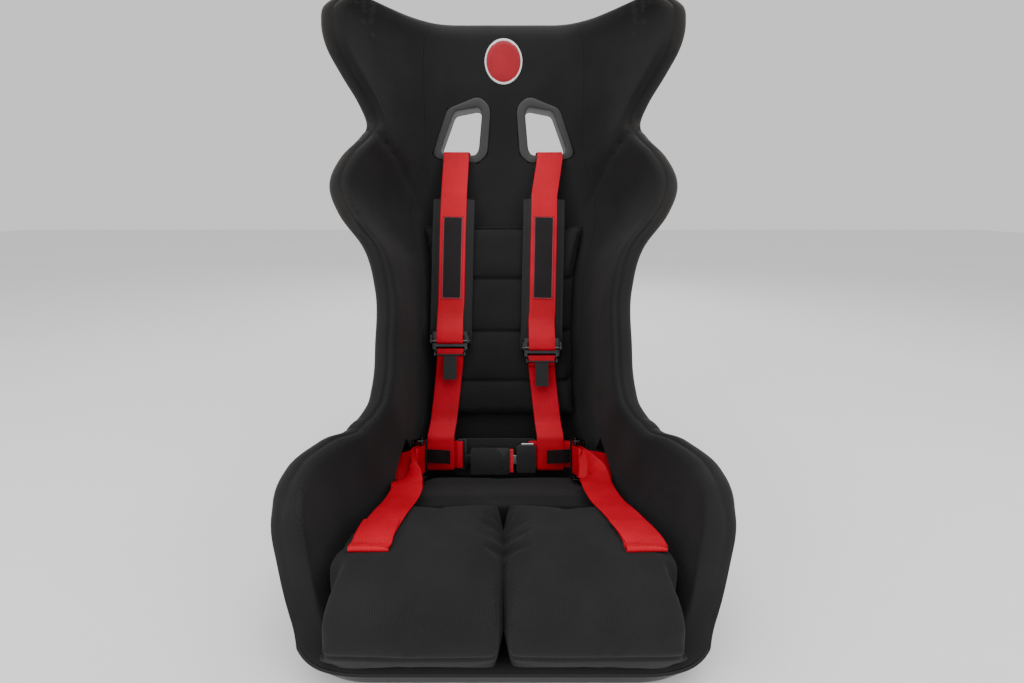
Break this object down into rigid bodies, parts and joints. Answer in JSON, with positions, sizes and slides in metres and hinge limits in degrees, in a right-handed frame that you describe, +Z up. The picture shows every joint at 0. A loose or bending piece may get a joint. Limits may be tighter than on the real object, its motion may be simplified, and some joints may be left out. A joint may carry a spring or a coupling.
{
  "type": "racing seat",
  "caption": "High-sided bucket racing seat with head wings, padded bolsters, split seat cushion and a webbing harness with a push-button buckle.",
  "frame": {"origin": "on the flat underside of the shell's pan, on the seat's centre line, below the middle of the seating area", "axes": "+Z up, +Y towards the backrest, +X to the seat's right as it is seen from the front"},
  "size_m": [0.5638, 0.6993, 0.894],
  "materials": {
    "shell": "gloss",
    "knit": "matte",
    "bolster": "matte",
    "cushion": "matte",
    "bezel": "satin",
    "webbing": "satin",
    "pad": "matte",
    "patch": "matte",
    "black_steel": "gloss",
    "bright_steel": "polished",
    "tab": "satin",
    "buckle_plastic": "satin",
    "button": "gloss",
    "badge": "gloss"
  },
  "bodies": {
    "seat": {"seat_shell": "shell", "back_liner": "knit", "pan_liner": "knit", "thigh_bolster_left": "bolster", "thigh_bolster_right": "bolster", "side_bolster_left": "bolster", "side_bolster_right": "bolster", "head_bolster_left": "bolster", "head_bolster_right": "bolster", "seat_cushion_left": "cushion", "seat_cushion_right": "cushion", "seat_cushion_rear": "cushion", "back_cushion": "cushion", "slot_bezel_front_left": "bezel", "slot_bezel_front_right": "bezel", "slot_bezel_rear_left": "bezel", "slot_bezel_rear_right": "bezel", "lap_slot_sleeve_left": "bezel", "lap_slot_sleeve_right": "bezel", "mount_rail_left": "shell", "mount_rail_right": "shell", "shoulder_strap_left": "webbing", "shoulder_strap_right": "webbing", "shoulder_pad_left": "pad", "shoulder_pad_right": "pad", "pad_label_left": "patch", "pad_label_right": "patch", "lower_strap_left": "webbing", "lower_strap_right": "webbing", "shoulder_left_adjuster": "black_steel", "shoulder_right_adjuster": "black_steel", "lap_left_adjuster": "black_steel", "lap_right_adjuster": "black_steel", "lap_link_left": "webbing", "lap_link_right": "webbing", "lap_belt_left": "webbing", "lap_belt_right": "webbing", "buckle_cover_back": "buckle_plastic", "buckle_cover_front": "buckle_plastic", "buckle_frame": "black_steel", "button_spring": "bright_steel", "buckle_pad": "pad", "tongue": "bright_steel", "tongue_cover": "buckle_plastic", "shoulder_anchor_plate_left": "black_steel", "shoulder_anchor_plate_right": "black_steel", "lap_anchor_plate_left": "black_steel", "lap_anchor_plate_right": "black_steel", "head_badge": "badge"},
    "button": {"buckle_button": "button"},
    "latch": {"buckle_latch": "black_steel"},
    "shoulder_left_bar": {"shoulder_left_lock_bar": "black_steel"},
    "shoulder_right_bar": {"shoulder_right_lock_bar": "black_steel"},
    "lap_left_bar": {"lap_left_lock_bar": "black_steel"},
    "lap_right_bar": {"lap_right_lock_bar": "black_steel"},
    "shoulder_left_tab": {"shoulder_left_pull_tab": "tab"},
    "shoulder_right_tab": {"shoulder_right_pull_tab": "tab"},
    "lap_left_tab": {"lap_left_pull_tab": "tab"},
    "lap_right_tab": {"lap_right_pull_tab": "tab"}
  },
  "joints": [
    {"name": "button_press", "type": "slide", "parent": "seat", "child": "button", "axis": [-1, 0, 0], "range_m": [0, 0.005], "stiffness_N_per_m": 500},
    {"name": "latch_lift", "type": "slide", "parent": "seat", "child": "latch", "axis": [0, -0.9588, 0.284], "range_m": [0, 0.0026]},
    {"name": "shoulder_left_bar_slide", "type": "slide", "parent": "seat", "child": "shoulder_left_bar", "axis": [0, 0.284, 0.9588], "range_m": [0, 0.003]},
    {"name": "shoulder_right_bar_slide", "type": "slide", "parent": "seat", "child": "shoulder_right_bar", "axis": [0, 0.284, 0.9588], "range_m": [0, 0.003]},
    {"name": "lap_left_bar_slide", "type": "slide", "parent": "seat", "child": "lap_left_bar", "axis": [-0.2596, -0.926, 0.2743], "range_m": [0, 0.003]},
    {"name": "lap_right_bar_slide", "type": "slide", "parent": "seat", "child": "lap_right_bar", "axis": [0.2596, -0.926, 0.2743], "range_m": [0, 0.003]},
    {"name": "shoulder_left_tab_hinge", "type": "hinge", "parent": "seat", "child": "shoulder_left_tab", "pos_m": [-0.102, 0.15377, 0.28498], "axis": [-1, 0, 0], "range_deg": [0, 110]},
    {"name": "shoulder_right_tab_hinge", "type": "hinge", "parent": "seat", "child": "shoulder_right_tab", "pos_m": [0.073, 0.15007, 0.27252], "axis": [-1, 0, 0], "range_deg": [0, 110]},
    {"name": "lap_left_tab_hinge", "type": "hinge", "parent": "seat", "child": "lap_left_tab", "pos_m": [-0.14333, 0.07839, 0.11176], "axis": [0, -0.284, -0.9588], "range_deg": [0, 45]},
    {"name": "lap_right_tab_hinge", "type": "hinge", "parent": "seat", "child": "lap_right_tab", "pos_m": [0.12533, 0.07839, 0.11176], "axis": [0, 0.284, 0.9588], "range_deg": [0, 45]}
  ],
  "couplings": [
    {"joint": "latch_lift", "follows": "button_press", "ratio": 0.5}
  ]
}
